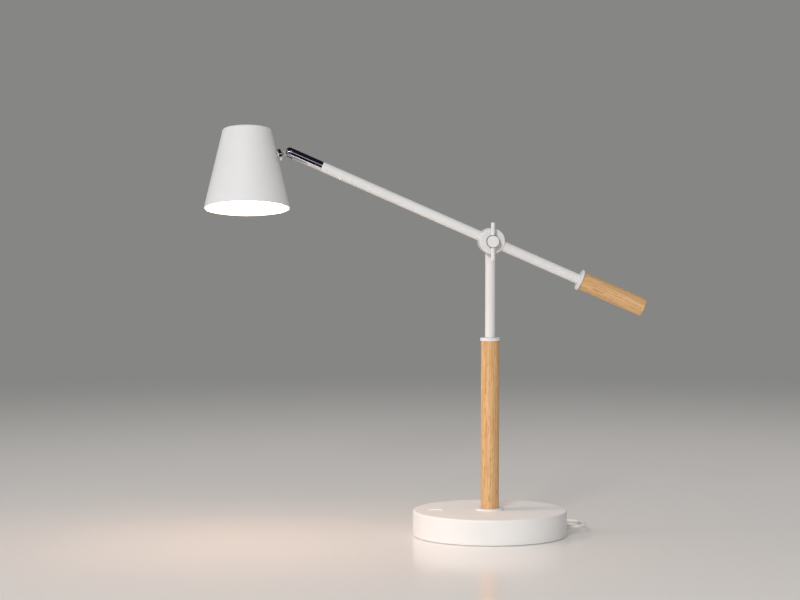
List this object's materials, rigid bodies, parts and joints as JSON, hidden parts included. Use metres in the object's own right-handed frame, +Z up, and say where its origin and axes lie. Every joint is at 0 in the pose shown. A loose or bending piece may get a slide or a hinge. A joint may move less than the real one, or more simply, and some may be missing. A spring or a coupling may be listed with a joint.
{
  "type": "desk lamp",
  "caption": "Desk lamp with a round weighted base, wooden lower post, steel upper post, tilting arm with a wooden end grip and a conical shade on a swivelling chrome knuckle.",
  "frame": {"origin": "centre of the round foot pad's lower face, where the lamp stands on the desk, on the post's axis", "axes": "+Z up along the post; the arm lies over the X axis at rest, with the shade towards -X and the wooden grip towards +X; the clamp knob faces -Y, the front"},
  "size_m": [0.4846, 0.2239, 0.4513],
  "materials": {
    "white_cover": "satin white paint on moulded plastic",
    "white_metal": "satin white powder coat",
    "white_shade": "satin white powder coat on spun aluminium",
    "chrome": "polished chrome plate",
    "oak": "oiled light hardwood",
    "steel": "zinc plated",
    "iron": "cast and blackened",
    "bare_aluminium": "turned",
    "grip_rubber": "soft foam rubber",
    "white_rubber": "matt white sheath",
    "copper": "bright",
    "nylon": "natural nylon",
    "board_green": "lacquered circuit board",
    "black_plastic": "moulded",
    "white_board": "white lacquer",
    "phosphor": "clear resin over phosphor",
    "opal": "opal diffuser",
    "white_plastic": "moulded white plastic",
    "dark_fibre": "pressed fibre"
  },
  "bodies": {
    "base": {"base_cover": "white_cover", "weight_plate": "iron", "bottom_plate": "white_metal", "foot_pad": "grip_rubber", "base_screws": "steel", "touch_electrode": "copper", "touch_contact": "copper", "control_board": "board_green", "board_components": "black_plastic", "board_standoffs": "nylon", "clamp_washer": "steel", "clamp_nut": "steel", "cord_gland": "white_rubber", "lead_base": "white_rubber", "post_flange": "white_metal", "core_tube": "steel", "wood_sleeve": "oak", "top_collar": "white_metal", "swivel_bush": "nylon", "cord_lead": "white_rubber", "cord_coil": "white_rubber", "coil_tie": "white_rubber", "cord_tail": "white_rubber", "plug_body": "white_plastic", "plug_shell": "steel", "plug_insert": "white_plastic"},
    "post": {"swivel_spindle": "steel", "swivel_clip": "steel", "post_tube": "white_metal", "rear_drum": "white_metal", "pivot_bolt": "steel", "hub_cap": "white_metal", "friction_disc": "dark_fibre", "lead_post": "white_rubber"},
    "arm": {"front_drum": "white_metal", "arm_tube": "white_metal", "handle_tube": "white_metal", "handle_collar": "white_metal", "wood_handle": "oak", "arm_bush": "nylon", "lead_arm": "white_rubber"},
    "knob": {"clamp_knob": "white_metal", "cross_bar": "white_metal", "thrust_washer": "steel"},
    "barrel": {"barrel": "chrome", "fork_pin": "chrome", "barrel_clip": "steel"},
    "head": {"knuckle": "chrome", "rosette": "chrome", "knuckle_washer": "steel", "knuckle_nut": "steel", "shade_shell": "white_shade", "lamp_bracket": "steel", "bracket_screws": "steel", "heat_sink": "bare_aluminium", "led_board": "white_board", "led_chips": "phosphor", "led_screws": "steel", "diffuser": "opal", "lead_head": "white_rubber"}
  },
  "joints": [
    {"name": "post_swivel", "type": "hinge", "parent": "base", "child": "post", "pos_m": [0, 0, 0.2186], "axis": [0, 0, 1], "range_deg": [-170, 170]},
    {"name": "arm_tilt", "type": "hinge", "parent": "post", "child": "arm", "pos_m": [0, -0.0136, 0.325], "axis": [0, 1, 0], "range_deg": [-58, 41]},
    {"name": "knob_turn", "type": "hinge", "parent": "post", "child": "knob", "pos_m": [0, -0.0255, 0.325], "axis": [0, -1, 0], "range_deg": [0, 270]},
    {"name": "head_swivel", "type": "hinge", "parent": "arm", "child": "barrel", "pos_m": [-0.1857, -0.0136, 0.40652], "axis": [-0.9157, 0, 0.4019], "range_deg": [-170, 146]},
    {"name": "head_tilt", "type": "hinge", "parent": "barrel", "child": "head", "pos_m": [-0.21958, -0.0136, 0.42139], "axis": [-0.0836, 0.9781, -0.1904], "range_deg": [-52, 36]}
  ]
}
